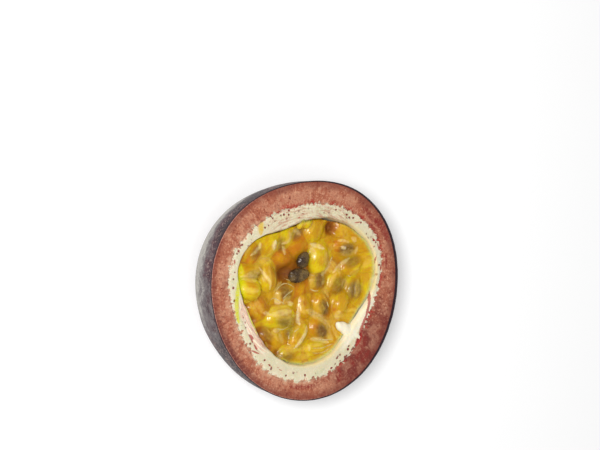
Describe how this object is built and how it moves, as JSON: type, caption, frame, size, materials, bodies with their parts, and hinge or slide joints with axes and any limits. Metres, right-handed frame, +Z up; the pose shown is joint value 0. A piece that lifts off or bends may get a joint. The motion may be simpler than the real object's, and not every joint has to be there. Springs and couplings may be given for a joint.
{
  "type": "passion fruit half",
  "caption": "Half of a passion fruit lying cut face up: thick purple-red peel, white pith and a lobed hollow full of glossy yellow juice sacs round dark seeds.",
  "frame": {"origin": "under the middle of the fruit, on the surface that it rests on", "axes": "+Z up, out of the cut face; +X to the right of the cut face and +Y to its top, as the cut face is seen from above"},
  "size_m": [0.0602, 0.0604, 0.0307],
  "materials": {
    "peel": "waxy mottled skin, moist granular cut flesh",
    "pith": "spongy cream tissue, slightly moist",
    "pulp": "wet translucent juice sacs",
    "seed": "hard pitted seed coat"
  },
  "bodies": {
    "root": {"peel": "peel", "pith": "pith", "pulp": "pulp"}
  },
  "joints": []
}
